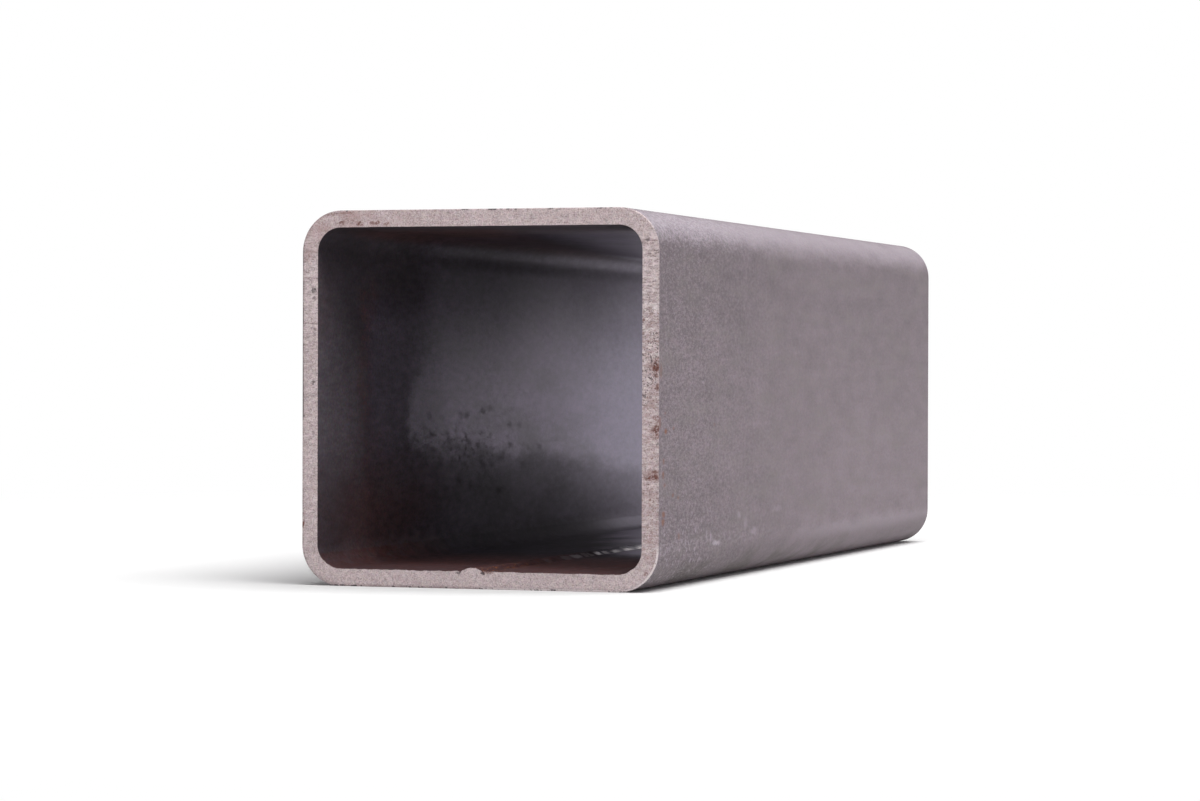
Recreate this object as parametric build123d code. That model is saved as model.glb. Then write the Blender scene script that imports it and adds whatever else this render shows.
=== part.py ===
from build123d import *
import os

# A piece of square steel tube: cold-formed strip, welded along one seam and sawn square at both ends.
# Millimetres. The origin is the middle of the bottom face, the length runs along Y and +Z is up.

# Section
SIDE = 100.0  # outside width and height
WALL = 4.5  # thickness of all four walls
BEND_INNER_RADIUS = 6.5  # inside radius of the four bends

# Cut piece
LENGTH = 300.0  # from one sawn end to the other
END_EDGE_BREAK = 0.3  # chamfer where the outer faces meet a sawn end

# Weld seam: a low rounded ridge left inside, along the floor of the bore
SEAM_WIDTH = 6.8  # across its feet, where it meets the floor
SEAM_HEIGHT = 1.0  # of its crown above the floor
SEAM_OFFSET = -1.5  # of its centre line from the middle of the floor, along X


def bore_section():
    """The hole through the tube, with the seam's ridge standing into it from the floor."""
    bore_side = SIDE - 2 * WALL
    seam_radius = (SEAM_WIDTH**2 / 4 + SEAM_HEIGHT**2) / (2 * SEAM_HEIGHT)
    seam_centre = SEAM_HEIGHT - bore_side / 2 - seam_radius
    ridge = Pos(SEAM_OFFSET, seam_centre) * Circle(seam_radius)
    return RectangleRounded(bore_side, bore_side, BEND_INNER_RADIUS) - ridge


def tube_section():
    """The metal of the tube, cut across its length, with the origin in the middle of the bore."""
    bend_outer_radius = BEND_INNER_RADIUS + WALL
    return RectangleRounded(SIDE, SIDE, bend_outer_radius) - bore_section()


def square_tube():
    """The section carried along the whole length, with the outer edge of both ends broken."""
    middle = Plane(origin=(0, 0, SIDE / 2), x_dir=(1, 0, 0), z_dir=(0, -1, 0))
    tube = extrude(middle * tube_section(), amount=LENGTH / 2, both=True)
    ends = tube.faces().filter_by(Axis.Y)
    rims = [edge for end in ends for edge in end.outer_wire().edges()]
    tube = chamfer(rims, END_EDGE_BREAK)
    tube.label = "square_tube"
    return tube


os.makedirs("parts", exist_ok=True)
export_step(square_tube(), "parts/square_tube.step")
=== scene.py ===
"""The looks of a cut length of square steel tube, on a pale studio floor.

The tube is one piece of metal with three finishes: the dull rolled outside, the darker scale of the bore
with its weld seam, and the bright sawn ends. Shapes are in metres, in the frame of the solid model, and the
finishes read the same frame in millimetres.
"""

import logging
import math
from dataclasses import dataclass
from enum import Enum
from functools import cached_property, reduce
from typing import Union

import bmesh
import bpy
from mathutils import Matrix, Vector, noise


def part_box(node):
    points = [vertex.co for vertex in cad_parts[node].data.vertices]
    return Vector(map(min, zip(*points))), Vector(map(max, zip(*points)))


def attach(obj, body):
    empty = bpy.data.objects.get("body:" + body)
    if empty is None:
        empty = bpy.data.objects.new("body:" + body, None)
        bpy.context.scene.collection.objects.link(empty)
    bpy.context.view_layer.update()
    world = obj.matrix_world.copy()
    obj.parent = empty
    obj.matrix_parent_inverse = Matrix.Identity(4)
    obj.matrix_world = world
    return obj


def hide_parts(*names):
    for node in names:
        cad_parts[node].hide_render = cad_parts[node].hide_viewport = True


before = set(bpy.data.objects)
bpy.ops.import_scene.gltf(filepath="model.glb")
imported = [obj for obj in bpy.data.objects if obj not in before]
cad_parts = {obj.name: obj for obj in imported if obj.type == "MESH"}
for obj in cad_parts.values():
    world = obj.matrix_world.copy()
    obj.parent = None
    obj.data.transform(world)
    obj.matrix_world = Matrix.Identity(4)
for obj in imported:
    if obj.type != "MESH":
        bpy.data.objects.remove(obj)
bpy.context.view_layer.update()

MM = 0.001
NODE = "square_tube"

# the tube as the finishes read it, in millimetres
HALF_SIDE = 50.0
FRONT = -150.0
LENGTH = 300.0

RELIEF_STEP = 0.05 * MM

log = logging.getLogger("square_tube")

Triple = tuple[float, float, float]
Colour = Triple
Rows = tuple[tuple[float, ...], ...]
Number = Union["Value", float]
Paint = Union["Value", Colour]

WHITE: Colour = (1.0, 1.0, 1.0)


def mixed(low: float, high: float, share: float) -> float:
    """The value that lies the given share of the way from low to high."""
    return low + (high - low) * share


def ramped(value: float, start: float, stop: float) -> float:
    """0 at start and 1 at stop, with a smooth turn at both."""
    share = min(max((value - start) / (stop - start), 0.0), 1.0)
    return share * share * (3.0 - 2.0 * share)


def wavering(x: float, y: float = 0.0, z: float = 0.0) -> float:
    """Smooth noise from about -1 to 1 that changes over a distance of 1."""
    return noise.noise(Vector((x, y, z)), noise_basis="PERLIN_ORIGINAL")


# ---- Node trees


@dataclass(frozen=True)
class Value:
    """What a node tree works out: a number, with the usual arithmetic, or a place, colour or shader."""

    graph: "Graph"
    socket: bpy.types.NodeSocket

    def __add__(self, other: Number) -> "Value":
        """The sum."""
        return self.graph.math("ADD", self, other)

    def __sub__(self, other: Number) -> "Value":
        """The difference."""
        return self.graph.math("SUBTRACT", self, other)

    def __rsub__(self, other: float) -> "Value":
        """What is left of a constant."""
        return self.graph.math("SUBTRACT", other, self)

    def __mul__(self, other: Number) -> "Value":
        """The product."""
        return self.graph.math("MULTIPLY", self, other)

    def __pow__(self, power: float) -> "Value":
        """The value raised to a power."""
        return self.graph.math("POWER", self, power)

    def __abs__(self) -> "Value":
        """The value without its sign."""
        return self.graph.math("ABSOLUTE", self)

    def swing(self, amount: float) -> "Value":
        """A noise of 0 to 1 made to swing about 0, by half the amount either way."""
        return self.graph.math("MULTIPLY_ADD", self, amount, -amount / 2)

    def ramp(self, start: Number, stop: Number, low: Number = 0.0, high: Number = 1.0) -> "Value":
        """Maps the value to another range, with soft ends.

        Args:
            start: The value that gives low.
            stop: The value that gives high. It may lie below start.
            low: The result up to start.
            high: The result from stop on.

        Returns:
            The result.
        """
        ends = {"Value": self, "From Min": start, "From Max": stop, "To Min": low, "To Max": high}
        return self.graph.wired("ShaderNodeMapRange", ends, "Result", interpolation_type="SMOOTHSTEP")

    def between(self, low: Number, high: Number) -> "Value":
        """Low where the value is 0 and high where it is 1, with soft ends."""
        return self.ramp(0.0, 1.0, low, high)

    def near(self, centre: float, far: float, close: float, high: float = 1.0) -> "Value":
        """High within the distance close of a centre, and 0 past the distance far."""
        return abs(self - centre).ramp(far, close, 0.0, high)

    def curve(self, points: tuple[tuple[float, float], ...], span: float, height: float = 1.0) -> "Value":
        """Draws a smooth line through points.

        Args:
            points: Pairs of a value and its result, from left to right.
            span: The largest value.
            height: The largest result.

        Returns:
            The line's height at the value.
        """
        made = self.graph.node("ShaderNodeFloatCurve")
        line = made.mapping.curves[0]
        while len(line.points) < len(points):
            line.points.new(0.5, 0.5)
        for point, (value, result) in zip(line.points, points):
            point.location = (value / span, result / height)
        made.mapping.update()
        self.graph.feed(made.inputs["Value"], self * (1.0 / span))
        return Value(self.graph, made.outputs[0]) * height


def most(*values: Number) -> Value:
    """The largest of the values, the first of which isn't a constant."""
    return reduce(lambda best, value: best.graph.math("MAXIMUM", best, value), values)


def least(first: Value, second: Number) -> Value:
    """The smaller of two values."""
    return first.graph.math("MINIMUM", first, second)


@dataclass(frozen=True)
class Blot:
    """An oval stain or pit, in millimetres."""

    middle: Triple
    radii: Triple
    strength: float


def on_wall(x: float, reach: float, rows: Rows) -> tuple[Blot, ...]:
    """Lays blots on an upright wall.

    Args:
        x: Where the wall is.
        reach: How far the blots reach on both sides of it.
        rows: Each blot's distance from the front end, height, half length, half height and strength.

    Returns:
        The blots.
    """
    return tuple(Blot((x, FRONT + along, z), (reach, half, high), strength)
                 for along, z, half, high, strength in rows)


def on_end(rows: Rows) -> tuple[Blot, ...]:
    """Lays blots on the front end.

    Args:
        rows: Each blot's X, height, half width, half height and strength.

    Returns:
        The blots.
    """
    reach = 40.0
    return tuple(Blot((x, FRONT, z), (wide, reach, high), strength) for x, z, wide, high, strength in rows)


class Graph:
    """A node tree with short calls for the nodes that the finishes share."""

    def __init__(self, tree: bpy.types.NodeTree) -> None:
        """Takes over a node tree and empties it."""
        self.tree = tree
        tree.nodes.clear()

    def node(self, kind: str, **settings: object) -> bpy.types.Node:
        """Adds a node.

        Args:
            kind: The node's type name.
            settings: Properties of the node by name.

        Returns:
            The new node.
        """
        made = self.tree.nodes.new(kind)
        for name, value in settings.items():
            setattr(made, name, value)
        return made

    def feed(self, socket: bpy.types.NodeSocket, value: object) -> None:
        """Links a value to a socket, or sets the socket itself to a constant.

        Args:
            socket: The input.
            value: A Value, or a constant of the socket's kind.
        """
        if isinstance(value, Value):
            self.tree.links.new(value.socket, socket)
        elif socket.type == "RGBA":
            socket.default_value = (*value, 1.0)
        else:
            socket.default_value = value

    def wired(self, kind: str, inputs: dict[str | int, object], output: str | int = 0,
              **settings: object) -> Value:
        """Adds a node and feeds it.

        Args:
            kind: The node's type name.
            inputs: What its inputs get, by their names or numbers.
            output: The name or number of the output to read.
            settings: Properties of the node by name.

        Returns:
            The output.
        """
        made = self.node(kind, **settings)
        for name, value in inputs.items():
            self.feed(made.inputs[name], value)
        return Value(self, made.outputs[output])

    def math(self, operation: str, *values: Number) -> Value:
        """The result of one Math node."""
        return self.wired("ShaderNodeMath", dict(enumerate(values)), operation=operation)

    def length(self, vector: Value) -> Value:
        """A place's distance from the middle."""
        return self.wired("ShaderNodeVectorMath", {0: vector}, "Value", operation="LENGTH")

    def mapped(self, vector: Value, scale: Triple = (1, 1, 1), offset: Triple = (0, 0, 0),
               turn: Triple = (0, 0, 0)) -> Value:
        """Scales, turns and then moves a place.

        Args:
            vector: The place.
            scale: A factor for each axis.
            offset: How far it moves.
            turn: The angles about the axes, in degrees.

        Returns:
            The new place.
        """
        angles = tuple(math.radians(angle) for angle in turn)
        return self.wired("ShaderNodeMapping",
                          {"Vector": vector, "Scale": scale, "Location": offset, "Rotation": angles})

    @cached_property
    def place(self) -> Value:
        """The piece's own coordinates, in millimetres."""
        return self.mapped(self.wired("ShaderNodeTexCoord", {}, "Object"), (1 / MM, 1 / MM, 1 / MM))

    def axes(self) -> tuple[Value, ...]:
        """The X, Y and Z of the place, in millimetres."""
        return tuple(self.wired("ShaderNodeSeparateXYZ", {0: self.place}, axis) for axis in "XYZ")

    def noise(self, size: Triple | float, detail: float = 2.0, rough: float = 0.5, seed: float = 0.0,
              place: Value | None = None, output: str = "Fac") -> Value:
        """Makes noise from 0 to 1.

        Args:
            size: How many millimetres its blotches are across, one number or one for each axis.
            detail: How many finer layers are added.
            rough: How strong each finer layer is.
            seed: An offset that gives a different pattern.
            place: Where to read the noise, in millimetres, or nothing for the place itself.
            output: Fac for a number, or Color for a random colour.

        Returns:
            The noise.
        """
        sizes = size if isinstance(size, tuple) else (size, size, size)
        scale = tuple(1.0 / across for across in sizes)
        where = self.mapped(place or self.place, scale, (seed, seed * 0.7, seed * 1.3))
        return self.wired("ShaderNodeTexNoise",
                          {"Vector": where, "Scale": 1.0, "Detail": detail, "Roughness": rough}, output)

    def mix(self, share: Number, first: Paint, second: Paint, blend: str = "MIX") -> Value:
        """Mixes two colours.

        Args:
            share: How much of the second colour there is, from 0 to 1.
            first: The colour where the share is 0.
            second: The colour where it is 1.
            blend: How the second colour acts on the first.

        Returns:
            The mixed colour.
        """
        low, high, result = 6, 7, 2  # the numbers of the node's colour sockets
        return self.wired("ShaderNodeMix", {0: share, low: first, high: second}, result,
                          data_type="RGBA", blend_type=blend)

    def speckled(self, colour: Value, size: Triple | float, amount: Number, seed: float) -> Value:
        """The colour with a fine speckle of slightly different tints, by an amount from 0 to 1."""
        return self.mix(amount, colour, self.noise(size, rough=0.7, seed=seed, output="Color"), "OVERLAY")

    def ragged(self, size: float, amount: float, seed: float) -> Value:
        """Moves the place about, so that a blot drawn with it has a ragged edge.

        Args:
            size: The size of the edge's crumbs, in millimetres.
            amount: How far they reach.
            seed: An offset that gives a different edge.

        Returns:
            The moved place.
        """
        where = self.mapped(self.place, (1 / size, 1 / size, 1 / size), (seed, 0, 0))
        tossed = self.wired("ShaderNodeTexNoise", {"Vector": where, "Scale": 1.0, "Detail": 2.0}, "Color")
        centred = self.mapped(self.place, offset=(-amount / 2, -amount / 2, -amount / 2))
        return self.wired("ShaderNodeVectorMath", {0: tossed, 1: (amount, amount, amount), 2: centred},
                          operation="MULTIPLY_ADD")

    def blot(self, place: Value, blot: Blot, soft: float) -> Value:
        """Draws one blot.

        Args:
            place: Where to read it, in millimetres.
            blot: The blot.
            soft: How far its edge fades in and out, as a share of its radii.

        Returns:
            The blot's strength in its middle, and 0 past its edge.
        """
        scale = tuple(1.0 / radius for radius in blot.radii)
        offset = tuple(-middle / radius for middle, radius in zip(blot.middle, blot.radii))
        far = self.length(self.mapped(place, scale, offset))
        return far.ramp(1.0 + soft, 1.0 - soft, 0.0, blot.strength)

    def blots(self, place: Value, blots: tuple[Blot, ...], soft: float) -> Value:
        """The strength of whichever blot a point is in, and 0 outside them all."""
        return most(*(self.blot(place, blot, soft) for blot in blots))

    def rays(self, *kinds: str) -> Value:
        """1 for light paths of the named kinds, and 0 for others."""
        return most(*(self.wired("ShaderNodeLightPath", {}, f"Is {kind} Ray") for kind in kinds))

    def mix_shaders(self, share: Value, first: Value, second: Value) -> Value:
        """Two shaders mixed by a share."""
        return self.wired("ShaderNodeMixShader", {0: share, 1: first, 2: second})

    def end(self, shader: Value, kind: str = "ShaderNodeOutputMaterial") -> None:
        """Ends the tree in a shader."""
        self.feed(self.node(kind).inputs["Surface"], shader)

    def surface(self, colour: Value, metallic: Number, roughness: Value, relief: Value, depth: float,
                specular: float = 0.5) -> None:
        """Ends the tree in a surface with a fine relief.

        Args:
            colour: The base colour.
            metallic: How much the surface is bare metal.
            roughness: How dull it is.
            relief: Its height, in relief steps.
            depth: How plain the relief is.
            specular: How strong the reflection is where it isn't metal.
        """
        bump = {"Strength": depth, "Distance": RELIEF_STEP, "Height": relief}
        skin = {"Base Color": colour, "Metallic": metallic, "Roughness": roughness,
                "Specular IOR Level": specular, "Normal": self.wired("ShaderNodeBump", bump, "Normal")}
        self.end(self.wired("ShaderNodeBsdfPrincipled", skin, "BSDF"))


def new_material(name: str) -> tuple[bpy.types.Material, Graph]:
    """Makes a material with an empty node tree.

    Args:
        name: The material's name.

    Returns:
        The material and its tree.
    """
    made = bpy.data.materials.new(name)
    made.use_nodes = True
    return made, Graph(made.node_tree)


# ---- The rolled outside


@dataclass(frozen=True)
class Skin:
    """What the outside's finish reads at a point: its place, and four noises from fine to broad."""

    graph: Graph
    x: Value
    y: Value
    z: Value
    grain: Value
    speck: Value
    blotch: Value
    cloud: Value

    @cached_property
    def from_middle(self) -> Value:
        """How far the point is above or below the middle of the walls."""
        return abs(self.z - HALF_SIDE)

    @cached_property
    def back(self) -> Value:
        """0 at the front end and 1 from just before the middle on."""
        return self.y.ramp(-140.0, -20.0)

    @cached_property
    def above(self) -> Value:
        """1 on the upper half and 0 on the lower one."""
        return self.z.ramp(45.0, 55.0)

    @cached_property
    def round_bend(self) -> Value:
        """How far round a bend the point is: 39 where a bend starts, and about 47 in its middle."""
        uneven = (self.speck - 0.5) * self.back.between(3.0, 0.8)
        return least(abs(self.x), self.from_middle) + self.blotch.swing(3.5) + uneven

    @cached_property
    def grit(self) -> Value:
        """The fine grain about 0, plainest near the front."""
        return ((self.grain - 0.5) * self.y.ramp(-145.0, -60.0, 2.1, 0.3)
                + (self.speck - 0.5) * self.y.ramp(-145.0, -5.0, 2.3, 0.5))


@dataclass(frozen=True)
class MillFinish:
    """The rolled outside of the tube: a dull, fine-grained grey with a trace of mauve."""

    light: Colour = (0.262, 0.212, 0.240)
    dark: Colour = (0.127, 0.100, 0.114)
    neutral: Colour = (0.205, 0.178, 0.178)
    # worn metal, also the colour of the painted highlight on the upper bends
    rubbed_and_highlight: Colour = (0.432, 0.370, 0.424)
    # grime, also the colour of the painted shade on the lower bends
    grime_and_shade: Colour = (0.120, 0.098, 0.100)
    rust: Colour = (0.205, 0.080, 0.046)
    metallic: float = 0.25
    roughness: float = 0.62
    # rust specks on the right side, just behind the front end
    speck_rows: Rows = (
        (6.2, 41.8, 1.1, 0.6, 1.0), (12.8, 42.5, 0.9, 0.4, 0.5), (4.5, 34.0, 0.8, 0.8, 0.6),
        (4.0, 30.5, 0.8, 1.0, 0.8), (5.2, 27.8, 0.9, 0.6, 0.6), (12.5, 25.0, 0.8, 0.5, 0.8),
        (17.0, 24.2, 0.8, 0.4, 0.6), (4.3, 20.2, 1.2, 0.8, 0.85), (4.0, 18.3, 1.3, 0.9, 0.85),
        (17.6, 14.0, 0.9, 0.9, 0.5), (2.0, 57.5, 1.0, 1.8, 0.5), (1.2, 44.0, 0.8, 1.6, 0.6),
        (5.8, 46.5, 0.8, 0.4, 0.4), (50.0, 43.0, 0.8, 0.5, 0.4),
    )
    # light scuffs low on the right side
    scuff_rows: Rows = (
        (52.0, 10.8, 3.2, 0.6, 0.9), (46.8, 12.4, 0.9, 1.4, 0.55), (43.0, 13.2, 0.8, 1.6, 0.35),
        (73.8, 17.5, 1.8, 1.0, 0.3), (88.8, 12.5, 3.0, 0.9, 0.35), (80.2, 15.2, 1.6, 1.4, 0.25),
        (113.0, 18.0, 5.0, 0.8, 0.2), (39.2, 54.5, 1.2, 0.5, 0.4), (33.0, 15.5, 0.9, 1.2, 0.25),
    )

    def material(self) -> bpy.types.Material:
        """Makes the finish as a material.

        Returns:
            The material.
        """
        made, graph = new_material("mill_finish")
        at = Skin(graph, *graph.axes(),
                  grain=graph.noise((0.45, 1.0, 0.45), detail=1.0, rough=0.6),
                  speck=graph.noise((0.9, 2.0, 0.9), rough=0.7, seed=7.7),
                  blotch=graph.noise((4.5, 13.0, 4.5), rough=0.55, seed=5.6),
                  cloud=graph.noise((22.0, 30.0, 22.0), detail=3.0, rough=0.6, seed=3.1))
        wear_and_highlight = self.wear_and_highlight(at)
        # grime with grain, standing also for the painted shade on the lower bends
        gritty_grime_and_shade = graph.mix(1.0, self.grime_and_shade, at.grit * 0.9 + 1.0, "MULTIPLY")
        specks = graph.blots(graph.ragged(0.9, 1.0, 2.0), on_wall(HALF_SIDE, 4.0, self.speck_rows), 0.5)
        # worn metal and a painted highlight on the upper bends
        colour = graph.mix(wear_and_highlight, self.plain(at), self.rubbed_and_highlight)
        colour = graph.mix(self.pale_lines(at), colour, self.rubbed_and_highlight)
        colour = graph.mix(self.grime_and_shade_share(at), colour, gritty_grime_and_shade)
        colour = graph.mix(self.scratches(at), colour, self.rubbed_and_highlight)
        colour = graph.speckled(colour, (0.8, 1.6, 0.8), 0.10, 11.3)
        colour = graph.mix(specks * at.speck.ramp(0.30, 0.55, 0.5, 1.0), colour, self.rust)
        rough = (at.cloud + wear_and_highlight.swing(-0.6)).ramp(0.1, 0.8, self.roughness - 0.08, self.roughness + 0.08)
        graph.surface(colour, self.metallic, rough, relief=at.speck * 0.8 + at.grain, depth=0.35)
        return made

    def plain(self, at: Skin) -> Value:
        """Makes the colour of the bare skin before any rubbing and dirt, with painted light: darker high
        up, lighter low down and towards the back.

        Args:
            at: What is read at the point.

        Returns:
            The colour.
        """
        graph = at.graph
        bands = graph.noise((60.0, 34.0, 3.2), seed=9.2)
        tone = at.grit + at.cloud.swing(0.40) + bands.swing(0.30) + at.blotch.swing(0.6)
        # painted light: darker high up, and lighter low down and towards the back
        tone += at.z.ramp(96.0, 40.0, 0.36, 0.54) + at.y.ramp(-110.0, 60.0, 0.0, 0.08)
        # lighter low down towards the back, which is painted light, and darker above and below near the
        # front
        tone += at.z.ramp(60.0, 20.0) * at.y.ramp(-70.0, 50.0, 0.0, 0.14)
        tone += at.from_middle.ramp(14.0, 28.0) * at.y.ramp(-10.0, -75.0, 0.0, -0.10)
        tint = graph.noise((6.0, 26.0, 6.0), rough=0.6, seed=8.8).ramp(0.46, 0.70, 0.0, 0.35)
        return graph.mix(tint, graph.mix(tone, self.dark, self.light), self.neutral)

    def wear_and_highlight(self, at: Skin) -> Value:
        """How much the upper bends are worn bright and carry a painted highlight, on the upper half only.

        Args:
            at: What is read at the point.

        Returns:
            0 for none, up to 1.
        """
        # painted highlight: only the upper half is lightened, as if lit from above, in patches like worn
        # metal
        patchy = (at.grain + at.speck.swing(0.8)).ramp(0.25, 0.75, at.back.between(0.5, 0.68),
                                                       at.back.between(1.0, 0.82))
        return at.round_bend.ramp(39.0, 46.5) * at.above * patchy * at.y.ramp(-150.0, 60.0, 0.95, 0.66)

    def pale_lines(self, at: Skin) -> Value:
        """How much of two pale worn lines above the lower bends there is: a thin one, and one further back.

        Args:
            at: What is read at the point.

        Returns:
            0 for none, up to 1.
        """
        patchy = at.speck.ramp(0.35, 0.65, 0.0, at.back.between(0.2, 0.05))
        thin = at.round_bend.near(38.4, 2.4, 0.2) * patchy
        far = at.round_bend.near(40.3, 3.4, 0.2) * at.y.ramp(-40.0, 40.0, 0.0, 0.26)
        return most(thin, far) * (1.0 - at.above)

    def grime_and_shade_share(self, at: Skin) -> Value:
        """How dark the lower bends are: painted shade where they face down, and grime in slanted creases.

        Args:
            at: What is read at the point.

        Returns:
            0 for clean, up to 1.
        """
        graph = at.graph
        waves = graph.noise((30.0, 42.0, 7.0), detail=3.0, rough=0.55, seed=15.5)
        slanted = graph.mapped(graph.place, turn=(-20.0, 0.0, 0.0))
        wrinkles = graph.noise((14.0, 26.0, 4.2), rough=0.55, seed=27.3, place=slanted)
        creased = (wrinkles.ramp(0.38, 0.62, -0.60, 0.60) * at.y.ramp(70.0, -60.0, 0.25, 1.0)
                   + at.y.ramp(-60.0, 70.0, 0.93, 0.46))
        # painted shade: only the lower bends, which face the floor, are darkened
        return (at.round_bend.ramp(40.0, 47.0) * (1.0 - at.above) * at.blotch.ramp(0.3, 0.7, 0.7, 1.0)
                * waves.ramp(0.38, 0.60, 0.45, 1.05) * creased)

    def scratches(self, at: Skin) -> Value:
        """How much of the short light scratches and scuffs low on the side there is.

        Args:
            at: What is read at the point.

        Returns:
            0 for none, up to 1.
        """
        graph = at.graph
        hairs = graph.noise((0.9, 1.6, 1.6), rough=0.6, seed=31.7).ramp(0.56, 0.70, 0.0, 0.55)
        scuffs = graph.blots(graph.ragged(2.0, 2.0, 5.0), on_wall(HALF_SIDE, 6.0, self.scuff_rows), 0.6)
        return most(hairs * at.z.ramp(26.0, 12.0) * at.y.ramp(-70.0, -130.0), scuffs)


# ---- The bore


@dataclass(frozen=True)
class Inside:
    """What the bore's finish reads at a point: its place, and three noises from broad to fine."""

    graph: Graph
    x: Value
    along: Value
    z: Value
    cloud: Value
    mottle: Value
    fine: Value

    @cached_property
    def on_floor(self) -> Value:
        """1 on the floor and 0 above it."""
        return self.z.ramp(9.0, 8.0)

    @cached_property
    def on_ceiling(self) -> Value:
        """1 on the ceiling and 0 below it."""
        return self.z.ramp(92.5, 95.0)

    @cached_property
    def facing(self) -> Value:
        """How far towards the right and the far end, the way the painted light on the ceiling grows."""
        return self.along * 0.2 + (self.x + self.mottle.swing(5.0))

    @cached_property
    def low(self) -> Value:
        """1 low on the walls and 0 high up, with an uneven change."""
        return (self.z + self.cloud.swing(20.0)).ramp(40.0, 18.0)

    @cached_property
    def cloudy_along(self) -> Value:
        """The distance from the front end, made uneven by broad noise."""
        return self.along + self.cloud.swing(30.0)


@dataclass(frozen=True)
class BoreScale:
    """The inside of the tube: blue-grey scale, under a dull dark film that is rusty by the front end."""

    light: Colour = (0.215, 0.159, 0.260)
    dark: Colour = (0.097, 0.068, 0.117)
    far: Colour = (0.198, 0.169, 0.246)
    warm: Colour = (0.225, 0.172, 0.198)
    film: Colour = (0.140, 0.117, 0.139)
    # thinner film, also the colour of the painted light on the ceiling
    thin: Colour = (0.200, 0.164, 0.194)
    # black film, also the colour of the painted shade in the upper corner
    black: Colour = (0.080, 0.064, 0.080)
    # soot, also the colour of the painted shade on the ceiling
    soot_and_shade: Colour = (0.026, 0.0185, 0.0235)
    rust: Colour = (0.172, 0.070, 0.068)
    fresh_rust: Colour = (0.320, 0.120, 0.060)
    # bare weld metal, bright as the painted glints
    weld: Colour = (0.520, 0.450, 0.470)
    specular: float = 0.30
    left_wall: float = -45.5
    wall_reach: float = 9.0
    pit_size: tuple[float, float] = (2.1, 0.9)
    glint_size: tuple[float, float] = (1.3, 2.5)
    glint_height: float = 5.0
    # where the film on the left wall is thinner
    thin_rows: Rows = (
        (24.0, 44.0, 11.0, 11.0, 0.75), (41.0, 37.0, 9.0, 8.0, 0.45), (56.0, 26.0, 14.0, 8.0, 0.60),
        (86.0, 26.0, 20.0, 8.0, 0.80), (58.0, 8.0, 36.0, 2.6, 1.0),
    )
    # where it is thicker
    dark_rows: Rows = (
        (30.0, 79.0, 12.0, 13.0, 0.90), (22.0, 19.0, 8.0, 7.0, 0.70),
    )
    # brown stains on the left wall
    stain_rows: Rows = (
        (42.0, 38.0, 10.0, 4.0, 0.45), (37.0, 75.0, 4.0, 6.0, 0.40), (31.0, 56.0, 3.0, 7.0, 0.35),
        (47.0, 26.0, 14.0, 5.0, 0.30),
    )
    # soft dark pits on the left wall, most of them where the clean patch begins: along, height, strength
    pit_rows: Rows = (
        (125.6, 45.4, 0.23), (132.5, 46.0, 0.16), (107.9, 44.4, 0.16), (112.1, 44.1, 0.18),
        (149.3, 40.9, 0.18), (158.3, 40.5, 0.10), (150.2, 34.7, 0.21), (85.2, 34.2, 0.31),
        (114.7, 36.0, 0.23), (121.5, 35.0, 0.23), (97.3, 37.2, 0.21), (106.4, 25.0, 0.42),
        (139.7, 21.0, 0.39), (126.6, 28.9, 0.26), (142.3, 31.2, 0.18), (176.8, 33.6, 0.16),
        (82.0, 44.4, 0.16), (90.9, 30.6, 0.23), (104.7, 34.7, 0.18), (83.6, 38.6, 0.18),
        (78.0, 41.0, 0.16), (70.3, 38.6, 0.16), (109.7, 29.6, 0.21), (133.5, 29.3, 0.18),
        (161.1, 28.7, 0.16), (95.0, 22.7, 0.26), (80.5, 30.3, 0.23), (185.4, 19.2, 0.18),
        (74.0, 33.5, 0.21), (88.0, 26.5, 0.21), (116.5, 23.0, 0.23), (101.0, 30.5, 0.18),
    )
    # painted glints, bare dashes along the right foot of the weld: X, along, half length, strength
    glint_rows: Rows = (
        (0.6, 54.0, 2.5, 0.25), (0.6, 69.5, 3.0, 0.35), (0.7, 78.0, 4.2, 0.6), (0.7, 86.0, 2.0, 0.4),
        (0.8, 90.5, 1.8, 0.5), (0.9, 97.0, 2.6, 0.75), (1.0, 103.5, 2.2, 0.65), (1.2, 112.5, 3.0, 0.75),
        (1.5, 124.5, 4.0, 0.85), (1.8, 136.5, 4.6, 1.0), (1.8, 149.0, 4.0, 0.8), (1.6, 166.0, 5.0, 0.7),
        (1.4, 185.0, 4.0, 0.8), (1.2, 204.0, 6.0, 0.7), (1.0, 228.0, 5.0, 0.8), (0.9, 251.0, 6.0, 0.7),
        (0.8, 272.0, 5.0, 0.8), (0.8, 290.0, 4.0, 0.7),
    )

    def material(self) -> bpy.types.Material:
        """Makes the finish as a material.

        Returns:
            The material.
        """
        made, graph = new_material("bore_scale")
        x, y, z = graph.axes()
        at = Inside(graph, x, y - FRONT, z,
                    cloud=graph.noise((14.0, 30.0, 8.0), detail=4.0, rough=0.6, seed=1.7),
                    mottle=graph.noise((3.0, 6.5, 2.4), detail=3.0, rough=0.65, seed=4.4),
                    fine=graph.noise(0.8, rough=0.6, seed=8.2))
        pits = graph.blots(graph.ragged(2.0, 1.8, 9.0), self.pits(), 0.8)
        film = graph.mix(pits, self.rusty(at, self.plain_film(at)), self.soot_and_shade)
        # bare scale, and painted light on the ceiling, the floor and the bends
        clean_and_painted_light = self.clean_and_painted_light(at) * (1.0 - pits)
        colour = graph.mix(1.0, graph.mix(clean_and_painted_light, film, self.scale(at)), self.worn(at), "MULTIPLY")
        colour = graph.speckled(colour, (0.8, 1.3, 0.8), at.along.ramp(50.0, 150.0, 0.33, 0.12), 13.1)
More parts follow.
